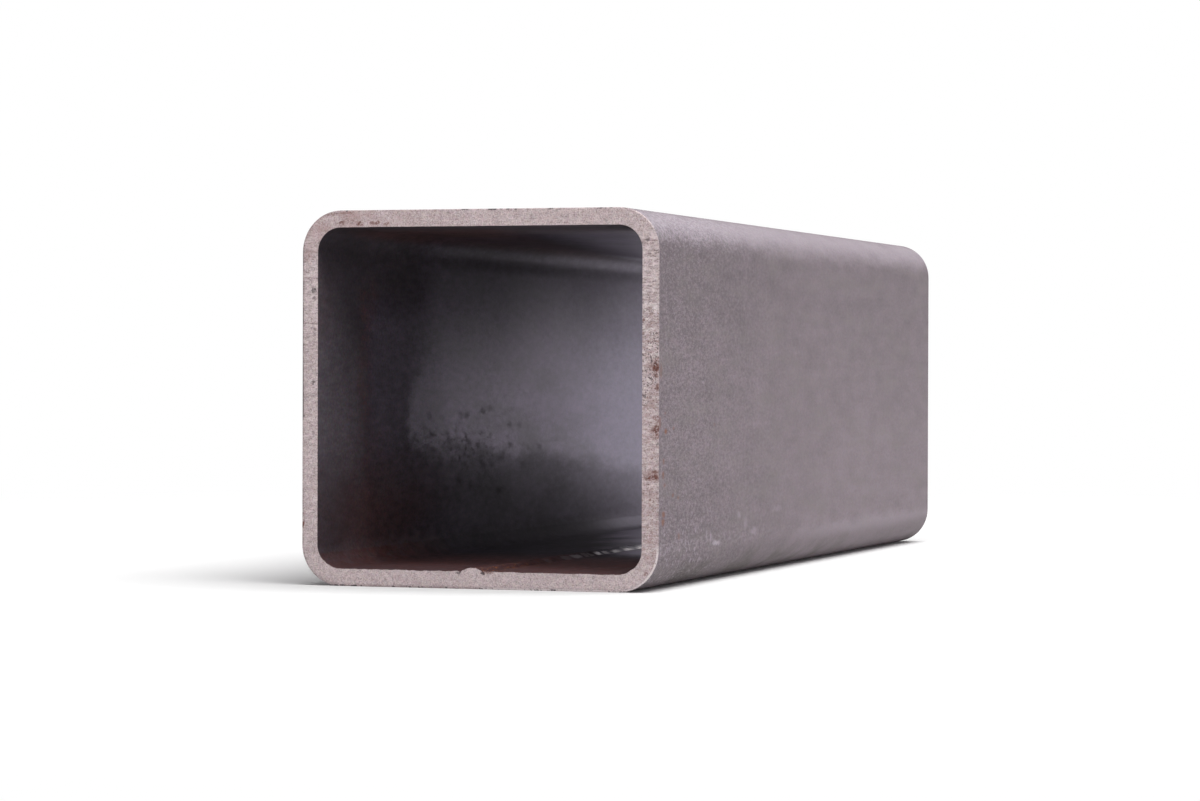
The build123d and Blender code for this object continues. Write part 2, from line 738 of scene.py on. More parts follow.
        # painted glints on the floor beside the weld, bare metal too
        bright = graph.blots(graph.ragged(1.6, 1.6, 6.0), self.glints(), 0.35) * at.on_floor
        colour = graph.mix(bright, colour, self.weld)
        colour = graph.mix(self.flakes(at), colour, self.fresh_rust)
        rough = at.mottle * 0.10 + (clean_and_painted_light.between(0.85, 0.36) - 0.05)
        graph.surface(colour, most(clean_and_painted_light, bright) * 0.8, least(rough, bright.between(1.0, 0.34)),
                      relief=at.mottle * 2.0 + at.fine, depth=0.3, specular=self.specular)
        return made

    def scale(self, at: Inside) -> Value:
        """Makes the colour of the clean scale.

        Args:
            at: What is read at the point.

        Returns:
            The colour.
        """
        tone = (at.cloud + at.mottle.swing(0.5) + at.fine.swing(0.2)).ramp(0.24, 0.76)
        colour = at.graph.mix(tone, self.dark, self.light)
        colour = at.graph.mix(at.along.ramp(160.0, 280.0, 0.0, 0.85), colour, self.far)
        return at.graph.mix(at.on_ceiling * at.along.ramp(75.0, 40.0), colour, self.warm)

    def plain_film(self, at: Inside) -> Value:
        """Makes the colour of the film without rust: grey near the front, dark further in, and dark in
        corners as painted shade.

        Args:
            at: What is read at the point.

        Returns:
            The colour.
        """
        graph, along, z = at.graph, at.along, at.z
        inward = along + at.mottle.swing(8.0) + at.fine.swing(4.0) + z.ramp(58.0, 78.0, 0.0, 14.0)
        deep = inward.ramp(29.0, 38.0) * at.mottle.ramp(0.7, 0.35, 0.4, 1.0)
        film = graph.mix(deep, self.film, self.black)
        # painted shade: the upper walls darken beyond a slanting line into the corner under the ceiling
        corner = along * 0.5 + (z + at.cloud.swing(8.0))
        film = graph.mix(corner.ramp(74.0, 92.0) * z.ramp(62.0, 76.0), film, self.black)
        film = graph.mix(at.low * along.ramp(34.0, 6.0, 0.0, 0.8), film, self.black)
        patchy = graph.ragged(9.0, 8.0, 7.0)
        # the ceiling's share is painted light, lighter towards the right and the far end
        thin = most(graph.blots(patchy, self.on_left_wall(self.thin_rows), 0.75),
                    at.on_ceiling * at.facing.ramp(2.0, 30.0, 0.0, 0.6))
        film = graph.mix(thin, film, self.thin)
        film = graph.mix(graph.blots(patchy, self.on_left_wall(self.dark_rows), 0.75), film, self.black)
        # the ceiling's share is painted shade, darker towards the left
        soot_and_shade_share = most(z.ramp(80.0, 92.0, 0.0, 0.6) * along.ramp(46.0, 18.0),
                     at.on_ceiling * at.x.ramp(14.0, -12.0, 0.15, 0.9),
                     at.on_floor * at.cloudy_along.ramp(55.0, 85.0, 0.0, 0.6))
        return graph.mix(soot_and_shade_share, film, self.soot_and_shade)

    def rusty(self, at: Inside, film: Value) -> Value:
        """Adds rust to the film: low and near the front, in a fringe, in stains and along the ceiling.

        Args:
            at: What is read at the point.
            film: The film's colour.

        Returns:
            The colour with rust.
        """
        graph, along, z = at.graph, at.along, at.z
        lower = at.low * at.cloudy_along.ramp(108.0, 48.0) * at.on_floor.between(0.6, 1.0)
        mouth = (along + at.cloud.swing(16.0)).ramp(16.0, 0.0, 0.0, 0.4)
        upper = z.ramp(60.0, 72.0) * z.ramp(90.0, 80.0) * mouth
        fringe = (along.near(34.0, 8.0, 1.0) * (at.mottle + at.fine.swing(0.8)).ramp(0.42, 0.66, 0.0, 0.5)
                  * z.ramp(86.0, 78.0))
        stains = graph.blots(graph.ragged(6.0, 12.0, 3.0), self.on_left_wall(self.stain_rows), 0.7)
        stains *= at.mottle.ramp(0.3, 0.6, 0.4, 1.0)
        inward = along.ramp(5.0, 40.0, 0.2, 0.48) + along.ramp(50.0, 110.0, 0.0, 0.2)
        ceiling = at.on_ceiling * at.facing.ramp(12.0, -4.0) * inward
        rust = most(lower, upper, fringe, stains, ceiling) * at.mottle.ramp(0.25, 0.6, 0.6, 1.0)
        dull = (along.ramp(36.0, 6.0, 0.0, 0.78) * at.on_floor.between(1.0, 0.7)
                * at.x.ramp(-8.0, 12.0, 1.0, 0.6))
        return graph.mix(rust, film, graph.mix(dull, self.rust, self.soot_and_shade))

    def worn(self, at: Inside) -> Value:
        """How much lighter or darker the surface is from spot to spot, as a factor.

        Args:
            at: What is read at the point.

        Returns:
            The factor.
        """
        along = at.along
        patches = at.graph.noise((2.2, 6.0, 1.8), detail=4.0, rough=0.7, seed=21.0)
        uneven = (patches.ramp(0.25, 0.75, -0.28, 0.28) * along.ramp(20.0, 60.0, 0.55, 1.0)
                  * along.ramp(90.0, 180.0, 1.0, 0.4))
        return uneven + (at.fine * along.ramp(30.0, 120.0, 0.8, 0.1) + along.ramp(30.0, 120.0, 0.6, 0.95))

    def flakes(self, at: Inside) -> Value:
        """How much fresh rust there is by the right foot of the weld.

        Args:
            at: What is read at the point.

        Returns:
            0 for none, up to 1.
        """
        right_foot = 1.5
        flaky = at.graph.noise((0.7, 2.6, 0.9), rough=0.7, seed=2.9).ramp(0.54, 0.64)
        return (at.x.near(right_foot, 6.0, 1.0) * at.on_floor * at.along.ramp(90.0, 5.0)
                * at.x.ramp(-6.0, 0.0, 0.55, 1.0) * flaky)

    def clean_and_painted_light(self, at: Inside) -> Value:
        """How much bare scale shows, with painted light on the ceiling, the floor and the bends.

        Args:
            at: What is read at the point.

        Returns:
            1 where it is quite clean, and 0 under the film.
        """
        along, x, z = at.along, at.x, at.z
        # painted light on the ceiling, towards the right and the far end
        painted_ceiling_light = z.ramp(92.0, 95.6) * at.facing.ramp(-12.0, 24.0) * along.ramp(16.0, 56.0, 0.0, 0.95)
        # painted sheen on the floor beyond a slanting line, towards the right and the far end
        beyond = along * 0.33 + (x + at.cloud.swing(18.0) + at.mottle.swing(7.0))
        painted_floor_sheen = (at.on_floor * beyond.ramp(22.0, 50.0, 0.0, 0.9) * x.ramp(-43.0, -38.0)
                     * at.cloudy_along.ramp(62.0, 106.0))
        # painted light: a light streak along the lower left bend towards the far end
        painted_left_bend_light = z.ramp(9.5, 8.0) * x.ramp(-38.0, -43.0) * along.ramp(172.0, 270.0, 0.0, 0.62)
        return most(self.clean_walls_and_light(at), painted_ceiling_light, painted_floor_sheen, painted_left_bend_light)

    def clean_walls_and_light(self, at: Inside) -> Value:
        """How much bare scale the side walls show: most in a patch that widens and brightens to the far
        end, with painted light and shade along the bends.

        Args:
            at: What is read at the point.

        Returns:
            1 where they are quite clean, and 0 under the film.
        """
        graph, along, z = at.graph, at.along, at.z
        wandering = z + at.cloud.swing(9.0) + (at.mottle - 0.5) * along.ramp(105.0, 150.0, 8.0, 2.0)
        patch = self.clean_patch(at, wandering)
        # the patch starts sharply in the middle, and softly above and below
        late = most(z.ramp(46.0, 66.0, 0.0, 22.0), z.ramp(38.0, 26.0, 0.0, 50.0))
        inward = along + at.cloud.swing(8.0) + at.mottle.swing(8.0)
        front = inward.ramp(z.ramp(36.0, 24.0, 63.0, 36.0), late + 69.0)
        early = wandering.ramp(24.0, 40.0) * wandering.ramp(82.0, 70.0) * along.ramp(30.0, 40.0, 0.0, 0.42)
        pits = (graph.noise((2.2, 4.2, 1.7), detail=3.0, rough=0.6, seed=6.6).ramp(0.50, 0.66)
                * z.ramp(43.0, 37.0) * z.ramp(14.0, 22.0) * along.ramp(165.0, 110.0, 0.0, 0.30))
        # painted light and shade: the upper bend has a dark line and a pale one, and the lower bend is
        # lighter only at the far end
        dark_line = z.ramp(86.0, 88.8) * along.ramp(230.0, 150.0, 0.15, 0.35)
        upper = 1.0 - dark_line + z.near(92.3, 2.6, 0.4, 0.38)
        lower = 1.0 - z.ramp(12.0, 8.0) * along.ramp(255.0, 185.0, 0.0, 0.45)
        bare = graph.noise((1.6, 4.0, 1.6), detail=3.0, rough=0.7, seed=12.4).ramp(0.2, 0.8, 0.94, 1.06)
        return (early + front * (patch - early)) * upper * lower * (1.0 - pits) * bare

    def clean_patch(self, at: Inside, wandering: Value) -> Value:
        """How clean the side walls are where the patch is in full.

        Args:
            at: What is read at the point.
            wandering: The height, made uneven.

        Returns:
            1 where they are quite clean, and 0 under the film.
        """
        along = at.along
        bottom = along.curve(((0, 0.40), (75, 0.40), (100, 0.39), (140, 0.38), (180, 0.37), (220, 0.41),
                              (255, 0.44), (300, 0.50)), LENGTH)
        top = along.curve(((0, 0.66), (75, 0.67), (100, 0.75), (140, 0.77), (180, 0.775), (220, 0.85),
                           (255, 0.93), (300, 0.96)), LENGTH)
        edge = along.curve(((0, 36.0), (75, 36.0), (105, 35.5), (130, 34.5), (160, 32.0), (195, 31.0),
                            (220, 28.5), (255, 26.0), (300, 20.0)), LENGTH, 100.0)
        over_edge = wandering - edge
        rising = over_edge.ramp(-4.0, 4.0, 0.0, 0.45) + over_edge.ramp(-22.0, 6.0, 0.0, 0.55)
        fading = (at.z + at.cloud.swing(14.0) - along.near(182.0, 50.0, 5.0, 7.0)).ramp(98.0, 43.0)
        return bottom + least(rising, fading) * (top - bottom)

    def on_left_wall(self, rows: Rows) -> tuple[Blot, ...]:
        """Blots on the left wall of the bore, from rows like those of an upright wall."""
        return on_wall(self.left_wall, self.wall_reach, rows)

    def pits(self) -> tuple[Blot, ...]:
        """The pits on the left wall, all of one size."""
        return self.on_left_wall(tuple((along, z, *self.pit_size, strength)
                                       for along, z, strength in self.pit_rows))

    def glints(self) -> tuple[Blot, ...]:
        """Lays the painted glints beside the weld: bare dashes, all of one height and width.

        Returns:
            The dashes.
        """
        wide, high = self.glint_size
        return tuple(Blot((x, FRONT + along, self.glint_height), (wide, half, high), strength)
                     for x, along, half, strength in self.glint_rows)


# ---- The sawn ends


@dataclass(frozen=True)
class Cut:
    """What the sawn ends' finish reads at a point: its place, and four noises from fine to broad."""

    graph: Graph
    x: Value
    z: Value
    grain: Value
    specks: Value
    swathes: Value
    patches: Value

    @cached_property
    def on_side(self) -> Value:
        """1 on the ends of the side walls and 0 above and below."""
        return (abs(self.x) - abs(self.z - HALF_SIDE)).ramp(0.0, 6.0)

    @cached_property
    def on_right(self) -> Value:
        """1 on the end of the right wall and 0 elsewhere."""
        return self.on_side * self.x.ramp(0.0, 1.0)


@dataclass(frozen=True)
class SawnSteel:
    """A sawn end: bright bare metal with fine marks that run across the side walls, and a little rust."""

    light: Colour = (0.612, 0.518, 0.529)
    dark: Colour = (0.192, 0.149, 0.154)
    # bare metal, also the colour of painted highlights
    bare: Colour = (0.760, 0.680, 0.690)
    brown: Colour = (0.340, 0.225, 0.215)
    rust: Colour = (0.190, 0.074, 0.058)
    pit: Colour = (0.080, 0.064, 0.068)
    metallic: float = 0.5
    roughness: float = 0.5
    eaten_roughness: float = 0.85
    bend_radius: float = 11.0
    # rust on the front end
    rust_rows: Rows = (
        (-38.6, 96.6, 0.7, 0.6, 0.8), (-33.4, 96.4, 0.9, 0.6, 0.9), (-29.9, 96.5, 0.6, 0.5, 0.6),
        (-28.6, 96.6, 0.6, 0.5, 0.8), (-25.8, 96.3, 0.6, 0.4, 0.6), (-41.0, 98.9, 2.2, 0.4, 0.4),
        (-37.2, 99.3, 2.4, 0.3, 0.5), (-44.0, 95.6, 2.2, 1.2, 0.2), (-36.0, 98.0, 3.0, 1.0, 0.2),
        (48.9, 58.6, 1.8, 2.4, 0.35), (49.0, 42.2, 1.3, 2.4, 0.3), (48.0, 30.3, 2.3, 1.4, 0.35),
        (49.2, 58.5, 1.0, 1.4, 1.0), (48.6, 57.8, 0.7, 0.6, 0.7), (49.3, 56.4, 0.6, 0.7, 0.7),
        (49.6, 60.5, 0.5, 0.9, 0.7), (49.7, 53.3, 0.5, 0.8, 0.7), (48.8, 45.4, 0.5, 0.5, 0.6),
        (49.7, 44.6, 0.4, 0.5, 0.6), (49.4, 42.3, 0.8, 1.4, 0.9), (49.6, 40.6, 0.6, 0.7, 0.8),
        (49.0, 30.1, 1.0, 0.9, 0.9), (47.7, 29.7, 0.8, 0.6, 0.9), (46.6, 29.6, 0.7, 0.5, 0.6),
        (49.1, 31.4, 0.9, 0.5, 0.7), (47.7, 24.3, 0.5, 0.4, 0.7), (47.6, 23.1, 0.4, 0.4, 0.4),
        (47.4, 17.1, 0.5, 0.5, 0.5), (46.7, 5.1, 0.6, 0.5, 0.6), (45.8, 70.7, 0.3, 0.6, 0.7),
        (48.1, 70.3, 0.8, 0.3, 0.4), (49.2, 65.2, 0.6, 0.3, 0.4), (45.8, 67.1, 0.3, 0.4, 0.5),
        (-49.6, 16.3, 0.4, 0.9, 0.9), (-49.3, 19.2, 0.4, 0.5, 0.4), (-48.6, 88.0, 1.0, 1.6, 0.3),
        (2.9, 4.4, 1.6, 0.3, 0.8),
    )
    # dark pits in the front end, most of them by the edge of the bore
    pit_rows: Rows = (
        (-46.7, 78.7, 0.7, 0.7, 0.7), (-46.7, 76.8, 0.5, 0.4, 0.5), (-45.2, 91.6, 0.3, 0.7, 0.6),
        (-46.5, 67.2, 0.4, 1.0, 0.3), (-46.7, 54.2, 0.4, 0.6, 0.7), (-46.8, 40.9, 0.4, 0.5, 0.5),
        (-46.7, 30.3, 0.4, 0.4, 0.3), (-49.7, 45.3, 0.4, 0.5, 0.6), (-49.7, 49.4, 0.3, 0.5, 0.4),
        (-49.7, 85.8, 0.3, 1.5, 0.3), (46.1, 51.1, 0.4, 0.4, 0.6), (47.7, 50.6, 0.5, 0.4, 0.4),
        (46.8, 91.4, 0.5, 0.5, 0.6), (45.8, 25.6, 0.3, 0.5, 0.5), (45.8, 75.3, 0.3, 0.5, 0.5),
        (45.8, 60.1, 0.3, 0.4, 0.4), (49.7, 38.7, 0.3, 0.5, 0.6), (48.8, 80.8, 0.6, 0.3, 0.4),
        (-5.2, 4.2, 0.7, 0.3, 0.9), (1.6, 4.2, 0.6, 0.3, 0.8), (26.7, 4.2, 0.4, 0.4, 0.4),
        (32.4, 3.8, 0.4, 0.4, 0.4), (38.1, 0.4, 0.5, 0.3, 0.4),
    )

    def material(self) -> bpy.types.Material:
        """Makes the finish as a material.

        Returns:
            The material.
        """
        made, graph = new_material("sawn_steel")
        x, _, z = graph.axes()
        at = Cut(graph, x, z, grain=graph.noise(0.38, rough=0.65, seed=1.1),
                 specks=graph.noise(0.5, rough=0.6, seed=18.0),
                 swathes=graph.noise((3.5, 3.5, 1.1), rough=0.6, seed=3.9),
                 patches=graph.noise(5.0, detail=3.0, rough=0.6, seed=2.2))
        ragged = graph.ragged(0.7, 1.3, 4.0)
        tone = self.tone(at)
        colour = graph.mix(self.brown_share(at), graph.mix(tone, self.dark, self.light), self.brown)
        # white dabs high on the right wall: bare metal and painted highlights
        dabs = graph.noise((3.0, 3.0, 1.5), detail=3.0, rough=0.65, seed=33.0).ramp(0.50, 0.68, 0.0, 0.60)
        colour = graph.mix(at.on_right * z.ramp(52.0, 66.0) * z.ramp(97.0, 88.0) * dabs, colour, self.bare)
        # painted highlight along the edge of the lower right bend
        colour = graph.mix(self.rim_highlight(at), colour, self.bare)
        colour = graph.speckled(colour, 0.7, 0.10, 9.9)
        freckles = (at.on_right * z.ramp(80.0, 70.0) * x.ramp(44.0, 49.0, 0.6, 1.0)
                    * at.specks.ramp(0.62, 0.68, 0.0, 0.75))
        spots = graph.blots(ragged, on_end(self.rust_rows), 0.5) * at.specks.ramp(0.36, 0.52, 0.25, 1.0)
        rust = most(spots, freckles)
        holes = graph.blots(ragged, on_end(self.pit_rows), 0.35) * at.specks.ramp(0.34, 0.50, 0.4, 1.0)
        pits = most(holes, self.notches(at), self.pepper(at))
        colour = graph.mix(pits, graph.mix(rust, colour, self.rust), self.pit)
        rough = most(rust, pits).between(self.roughness, self.eaten_roughness)
        graph.surface(colour, self.metallic, rough, relief=tone - pits, depth=0.5)
        return made

    def tone(self, at: Cut) -> Value:
        """Makes the saw's marks: streaks on the side walls, and grain above and below.

        Args:
            at: What is read at the point.

        Returns:
            0 where the metal is darkest and 1 where it is lightest.
        """
        graph, x, z = at.graph, at.x, at.z
        streaks = graph.noise((1.3, 1.3, 0.34), rough=0.65, seed=5.3)
        crumbs = graph.noise(1.2, rough=0.6, seed=7.1)
        scrapes = graph.noise((3.5, 3.5, 1.2), detail=3.0, rough=0.65, seed=23.0)
        strong = z.ramp(56.0, 74.0, 0.5, 1.0) * x.ramp(-40.0, 40.0, 1.0, 1.3)
        marks = (streaks.swing(1.05) + at.swathes.swing(0.75)) * at.on_side * strong
        coarse = (scrapes.swing(0.8) + at.grain.swing(0.5)) * z.ramp(93.0, 95.0)
        tone = marks * 1.7 + (coarse + (at.grain.swing(2.0) + at.patches.swing(0.5)))
        # the end is a little lighter high up, a painted highlight
        tone += crumbs * 0.9 + z.ramp(68.0, 82.0, 0.20, 0.26)
        return tone + z.ramp(8.0, 4.0, 0.0, 0.09)

    def brown_share(self, at: Cut) -> Value:
        """How brown the metal is: most at the top left, and in swathes on the right.

        Args:
            at: What is read at the point.

        Returns:
            0 for bare metal, up to 1.
        """
        x, z = at.x, at.z
        tint = at.graph.noise((1.3, 1.3, 0.8), rough=0.7, seed=6.2).ramp(0.3, 0.7)
        smooth_top = (z + at.grain.swing(1.2)).ramp(86.0, 88.5)
        brown = most(smooth_top * at.patches.ramp(0.35, 0.65) * x.ramp(0.0, -40.0, 0.3, 1.2),
                     at.on_right * z.ramp(84.0, 62.0) * at.swathes.ramp(0.55, 0.35))
        return brown * 0.34 + tint * 0.25

    def rim_highlight(self, at: Cut) -> Value:
        """How much of the bright painted highlight round the edge of the lower right bend there is.

        Args:
            at: What is read at the point.

        Returns:
            0 for none, up to 1.
        """
        across = most(at.x - (HALF_SIDE - self.bend_radius), 0.0)
        down = most(self.bend_radius - at.z, 0.0)
        from_centre = (across ** 2.0 + down ** 2.0) ** 0.5
        low_right = at.x.ramp(0.0, 1.0) * at.z.ramp(13.5, 9.5)
        return low_right * from_centre.ramp(10.40, 10.66, 0.0, 0.85)

    def pepper(self, at: Cut) -> Value:
        """How much of the fine pits there is, most of them a little over halfway up the right wall.

        Args:
            at: What is read at the point.

        Returns:
            0 for none, up to 1.
        """
        peppered = (at.on_right * at.z.near(63.0, 20.0, 12.0)).between(0.32, 0.85)
        fine = at.graph.noise(0.38, detail=1.0, rough=0.6, seed=26.0).ramp(0.57, 0.64)
        return fine * peppered * at.patches.ramp(0.3, 0.6)

    def notches(self, at: Cut) -> Value:
        """How much of the dark notches in the outer edges there is.

        Args:
            at: What is read at the point.

        Returns:
            0 for none, up to 1.
        """
        edges = most(at.z.ramp(0.6, 0.2), at.z.ramp(99.4, 99.8), at.x.ramp(-49.5, -49.8))
        bites = at.graph.noise((1.8, 1.8, 40.0), detail=3.0, rough=0.7, seed=17.0)
        return edges * bites.ramp(0.56, 0.60, 0.0, 0.9)


class Finish(Enum):
    """The finishes of the tube, each with its place in the mesh's list of materials."""

    MILL = 0
    BORE = 1
    SAWN = 2


FINISHES = {Finish.MILL: MillFinish(), Finish.BORE: BoreScale(), Finish.SAWN: SawnSteel()}


# ---- The tube


@dataclass(frozen=True)
class WeldSeam:
    """The ridge of squeezed-out metal along the floor of the bore."""

    centre: float = -1.5 * MM
    width: float = 6.8 * MM
    height: float = 1.0 * MM
    wander: float = 0.25 * MM
    undercut: float = 0.16 * MM

    def rise(self, across: float, along: float) -> float:
        """Works out the height of the metal above the bore's floor.

        Args:
            across: The X of the point on the floor.
            along: Its Y.

        Returns:
            The height, negative in the undercut beside the ridge.
        """
        far = along / MM
        centre = self.centre + self.wander * wavering(far / 17.0, 4.2)
        half = 0.88 * self.width / 2 * (1.0 + 0.10 * wavering(far / 9.0, 8.6))
        share = (across - centre) / half
        swell = 0.82 + 0.30 * wavering(far / 5.5, 1.3) + 0.16 * wavering(far / 1.9, 6.1)
        crown = max(0.0, 1.0 - share * share) ** 1.2 * self.height * swell
        coarse = 0.16 * wavering(across / MM / 1.1, far / 2.2, 2.7)
        fine = 0.14 * wavering(across / MM / 0.45, far / 1.1, 7.7)
        lump = (coarse + fine) * MM * ramped(1.15 - abs(share), 0.0, 0.4)
        foot = math.exp(-((abs(share) - 1.06) / 0.09) ** 2)
        return crown + lump - self.undercut * foot * (0.6 + 0.8 * wavering(far / 3.0, 9.4))


@dataclass(frozen=True)
class Burr:
    """The thin ragged lip that the saw leaves along the edges of the bore."""

    spacing: float = 0.5 * MM
    least_reach: float = 0.05 * MM
    reach: float = 0.22 * MM
    nibble: float = 0.07 * MM

    def lip(self, place: Vector) -> float:
        """Works out how far the lip stands into the bore: most along the floor.

        Args:
            place: A point on the bore's edge.

        Returns:
            The lip's height there.
        """
        where = place / MM
        coarse = wavering(where.x / 1.3, where.y, where.z / 1.3)
        fine = wavering(where.z / 0.6, where.x / 0.6, 5.1)
        along_floor = ramped(where.z, 9.0, 5.5)
        reach = mixed(self.least_reach, self.reach, along_floor)
        return reach * (0.6 * along_floor + 0.7 * (coarse + fine))

    def bite(self, place: Vector) -> float:
        """How far the saw has bitten into the outer edge at a point of it."""
        where = place / MM
        return self.nibble * max(0.0, 0.35 + wavering(where.x / 1.1, where.y + 7.7, where.z / 1.1))


@dataclass(frozen=True)
class SquareTube:
    """The whole piece of metal: four walls, four bends, the seam and two sawn ends."""

    low: Vector
    high: Vector
    wall: float = 4.5 * MM
    bend_inner_radius: float = 6.5 * MM
    edge_break: float = 0.3 * MM
    end_rings: tuple[float, ...] = (0.0003, 0.0006, 0.0012, 0.0012, 0.0006, 0.0003, 0.0003)
    end_stretch: float = 1.0 * MM
    bend_steps: int = 16
    flat_steps: int = 8
    seam_columns: int = 26
    bore_rows: int = 395
    skin_rows: int = 60
    # how near a cut a vertex lies on it
    on_plane: float = 1e-7
    seam: WeldSeam = WeldSeam()
    burr: Burr = Burr()

    @property
    def side(self) -> float:
        """Outside width of the tube."""
        return self.high.x - self.low.x

    @property
    def half_length(self) -> float:
        """Half of the tube's length."""
        return (self.high.y - self.low.y) / 2

    @property
    def bend_radius(self) -> float:
        """Outside radius of the bends."""
        return self.bend_inner_radius + self.wall

    @property
    def half_flat(self) -> float:
        """Half the width of a wall's flat part."""
        return self.side / 2 - self.bend_radius

    def depth(self, point: Vector) -> float:
        """Works out how deep a point of the section lies under the tube's outer skin.

        Args:
            point: The point.

        Returns:
            0 on the skin, and the wall's thickness on the bore.
        """
        past = Vector((abs(point.x) - self.half_flat, abs(point.z - self.side / 2) - self.half_flat))
        outside = Vector((max(past.x, 0.0), max(past.y, 0.0))).length
        return self.bend_radius - outside - min(max(past.x, past.y), 0.0)

    def outward(self, point: Vector) -> Vector:
        """Finds the way out of the metal at a point of the section.

        Args:
            point: The point.

        Returns:
            A direction of length 1, square to the outer skin.
        """
        across = Vector((point.x, 0.0, point.z - self.side / 2))
        flat = self.half_flat
        corner = Vector((max(min(across.x, flat), -flat), 0.0, max(min(across.z, flat), -flat)))
        way = across - corner
        if abs(way.x) > 0.0 and abs(way.z) > 0.0:
            return way.normalized()
        if abs(way.x) > abs(way.z):
            return Vector((math.copysign(1.0, way.x), 0.0, 0.0))
        return Vector((0.0, 0.0, math.copysign(1.0, way.z)))

    def draw_section(self, mesh: bmesh.types.BMesh) -> None:
        """Draws the front end: a square with round corners, set in step by step to the bore.

        Args:
            mesh: The empty mesh.
        """
        upright = Matrix.Translation((0, self.low.y, self.side / 2)) @ Matrix.Rotation(math.pi / 2, 4, "X")
        bmesh.ops.create_grid(mesh, x_segments=1, y_segments=1, size=self.side / 2, matrix=upright)
        bmesh.ops.bevel(mesh, geom=mesh.verts[:], offset=self.bend_radius, offset_type="OFFSET",
                        segments=self.bend_steps, profile=0.5, affect="VERTICES", material=-1)
        flats = [edge for edge in mesh.edges if edge.calc_length() > self.side / 2]
        bmesh.ops.subdivide_edges(mesh, edges=flats, cuts=self.flat_steps - 1)
        face = mesh.faces[:][0]
        for ring in self.end_rings:
            bmesh.ops.inset_region(mesh, faces=[face], thickness=ring, use_even_offset=True,
                                   use_boundary=True)
        bmesh.ops.delete(mesh, geom=[face], context="FACES_ONLY")

    def cut_seam_columns(self, mesh: bmesh.types.BMesh) -> None:
        """Cuts the floor of the section into narrow columns where the seam is.

        Args:
            mesh: The section's mesh.
        """
        reach = 0.66 * self.seam.width
        for index in range(self.seam_columns + 1):
            across = mixed(self.seam.centre - reach, self.seam.centre + reach, index / self.seam_columns)
            faces = [face for face in mesh.faces if face.calc_center_median().z < self.wall]
            edges = {edge for face in faces for edge in face.edges}
            verts = {vert for face in faces for vert in face.verts}
            bmesh.ops.bisect_plane(mesh, geom=[*faces, *edges, *verts], plane_co=(across, 0, 0),
                                   plane_no=(1, 0, 0), dist=self.on_plane)

    def extrude(self, mesh: bmesh.types.BMesh) -> None:
        """Carries the section along the length, then cuts off a short stretch at each end for its edges.

        Args:
            mesh: The section's mesh.
        """
        made = bmesh.ops.extrude_face_region(mesh, geom=mesh.faces[:], use_keep_orig=True)
        moved = [item for item in made["geom"] if isinstance(item, bmesh.types.BMVert)]
        bmesh.ops.translate(mesh, verts=moved, vec=(0, 2 * self.half_length, 0))
        for cut in (self.end_stretch - self.half_length, self.half_length - self.end_stretch):
            bmesh.ops.bisect_plane(mesh, geom=[*mesh.faces, *mesh.edges, *mesh.verts], plane_co=(0, cut, 0),
                                   plane_no=(0, 1, 0), dist=self.on_plane)

    def cut_rows(self, mesh: bmesh.types.BMesh) -> None:
        """Cuts the skins into rows: fine in the bore, for the seam, and coarse outside.

        Args:
            mesh: The tube's mesh.
        """
        for inside, rows in ((True, self.bore_rows), (False, self.skin_rows)):
            edges = [edge for edge in mesh.edges
                     if abs(edge.verts[0].co.y - edge.verts[1].co.y) > self.half_length
                     and (self.depth(edge.verts[0].co) > self.wall / 2) == inside]
            bmesh.ops.subdivide_edges(mesh, edges=edges, cuts=rows - 1, use_grid_fill=True)

    def at_end(self, vert: bmesh.types.BMVert) -> bool:
        """Whether a point lies in the plane of a sawn end."""
        return self.half_length - abs(vert.co.y) < 0.01 * MM

    def cut_end_columns(self, mesh: bmesh.types.BMesh) -> None:
        """Cuts the rings of the sawn ends finely, for their ragged edges.

        Args:
            mesh: The tube's mesh.
        """
        same_ring = 0.02 * MM
        by_cuts: dict[int, list[bmesh.types.BMEdge]] = {}
        for edge in mesh.edges:
            first, last = edge.verts
            if self.at_end(first) and self.at_end(last):
                cuts = round(edge.calc_length() / self.burr.spacing) - 1
                if cuts > 0 and abs(self.depth(first.co) - self.depth(last.co)) < same_ring:
                    by_cuts.setdefault(cuts, []).append(edge)
        for cuts, edges in by_cuts.items():
            bmesh.ops.subdivide_edges(mesh, edges=edges, cuts=cuts, use_grid_fill=True)

    def shape_ends(self, mesh: bmesh.types.BMesh) -> None:
        """Breaks the outer edges of the sawn ends and raises the lip on the inner ones.

        Args:
            mesh: The tube's mesh.
        """
        skin, first_ring, bore = 0.1 * MM, 0.5 * MM, self.wall - 0.1 * MM
        for vert in mesh.verts:
            if not self.at_end(vert):
                continue
            depth = self.depth(vert.co)
            if depth < skin:
                vert.co.y -= math.copysign(self.edge_break, vert.co.y)
            elif depth < first_ring:
                vert.co -= self.outward(vert.co) * self.burr.bite(vert.co)
            elif depth > bore:
                vert.co -= self.outward(vert.co) * self.burr.lip(vert.co)

    def raise_seam(self, mesh: bmesh.types.BMesh) -> None:
        """Raises the weld's ridge on the bore's floor.

        Args:
            mesh: The tube's mesh.
        """
        floor_top = self.wall + 0.1 * MM + self.burr.reach
        bore = self.wall - 0.02 * MM
        for vert in mesh.verts:
            on_floor = vert.co.z < floor_top and self.depth(vert.co) > bore
            if on_floor and abs(vert.co.x - self.seam.centre) < self.seam.width:
                vert.co.z += self.seam.rise(vert.co.x, vert.co.y)

